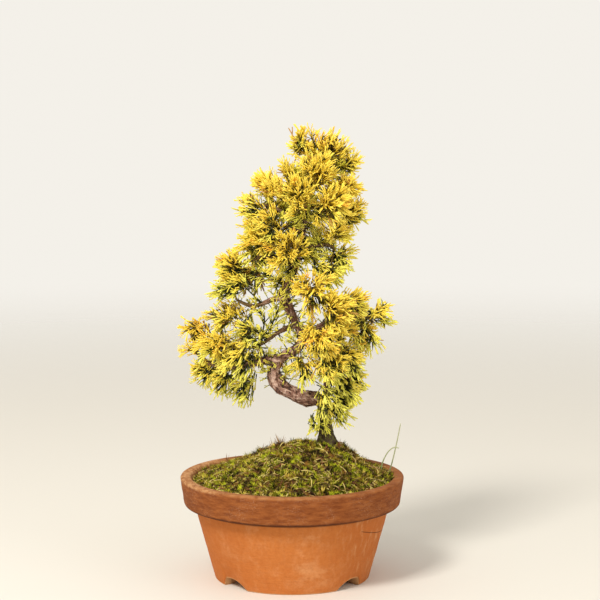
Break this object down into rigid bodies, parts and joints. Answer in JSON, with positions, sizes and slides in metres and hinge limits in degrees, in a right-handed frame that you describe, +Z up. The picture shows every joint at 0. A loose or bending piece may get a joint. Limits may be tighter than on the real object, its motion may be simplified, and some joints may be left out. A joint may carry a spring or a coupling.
{
  "type": "golden shimpaku juniper bonsai in a training pot",
  "caption": "Small golden juniper bonsai with a bent trunk and open pads of forked foliage, in mossy soil in a round shallow terracotta pot with foot arches.",
  "frame": {"origin": "on the pot's axis, in the plane of its foot", "axes": "+Z up along the pot's axis, +X to the right and -Y towards the viewer of the tree's front"},
  "size_m": [0.16, 0.16, 0.3201],
  "materials": {
    "terracotta": "matt unglazed earthenware, redder at the rim band, worn pale at the lip and foot arches",
    "screen": "matt moulded",
    "soil": "rough damp grit",
    "moss": "soft short pile, yellow-green to brown, with dry litter",
    "bark": "rough flaking bark, red-brown with grey-pink ridges",
    "gold_foliage": "satin scale leaves, golden yellow at the tips and greener below",
    "green_foliage": "satin scale leaves, yellow-green to olive",
    "grass": "satin blade, pale green"
  },
  "bodies": {
    "root": {"pot": "terracotta", "drainage_screen": "screen", "soil": "soil", "moss_carpet": "moss", "trunk_and_branches": "bark", "grass_stalk_tall": "grass", "grass_stalk_arched": "grass", "spray_apex_tip": "gold_foliage", "spray_apex_crown": "gold_foliage", "spray_apex_right": "gold_foliage", "spray_apex_front": "gold_foliage", "spray_apex_left": "gold_foliage", "spray_apex_back": "green_foliage", "spray_apex_right_low": "green_foliage", "spray_upper_left": "gold_foliage", "spray_upper_left_tip": "gold_foliage", "spray_upper_front": "gold_foliage", "spray_upper_front_right": "gold_foliage", "spray_upper_right": "gold_foliage", "spray_upper_back": "green_foliage", "spray_upper_left_low": "green_foliage", "spray_upper_front_low": "green_foliage", "spray_upper_right_low": "green_foliage", "spray_upper_back_right": "green_foliage", "spray_mid_front": "gold_foliage", "spray_mid_left": "gold_foliage", "spray_mid_left_tip": "gold_foliage", "spray_mid_left_low": "green_foliage", "spray_mid_right": "gold_foliage", "spray_mid_back": "green_foliage", "spray_mid_back_left": "green_foliage", "spray_mid_right_low": "green_foliage", "spray_mid_left_back": "green_foliage", "spray_right_crown_front": "gold_foliage", "spray_right_front": "gold_foliage", "spray_right_inner": "green_foliage", "spray_right_mid": "gold_foliage", "spray_right_top": "gold_foliage", "spray_right_tip": "gold_foliage", "spray_right_low": "green_foliage", "spray_right_back": "green_foliage", "spray_droop_front": "green_foliage", "spray_droop_right": "green_foliage", "spray_droop_right_low": "green_foliage", "spray_droop_low": "green_foliage", "spray_droop_trunk": "green_foliage", "spray_droop_back": "green_foliage", "spray_droop_foot": "green_foliage", "spray_droop_inner": "green_foliage", "spray_left_tip": "gold_foliage", "spray_left_top": "gold_foliage", "spray_left_mid": "gold_foliage", "spray_left_inner": "green_foliage", "spray_left_front": "gold_foliage", "spray_left_outer": "gold_foliage", "spray_left_low": "green_foliage", "spray_left_hang": "green_foliage", "spray_left_back": "green_foliage"}
  },
  "joints": []
}
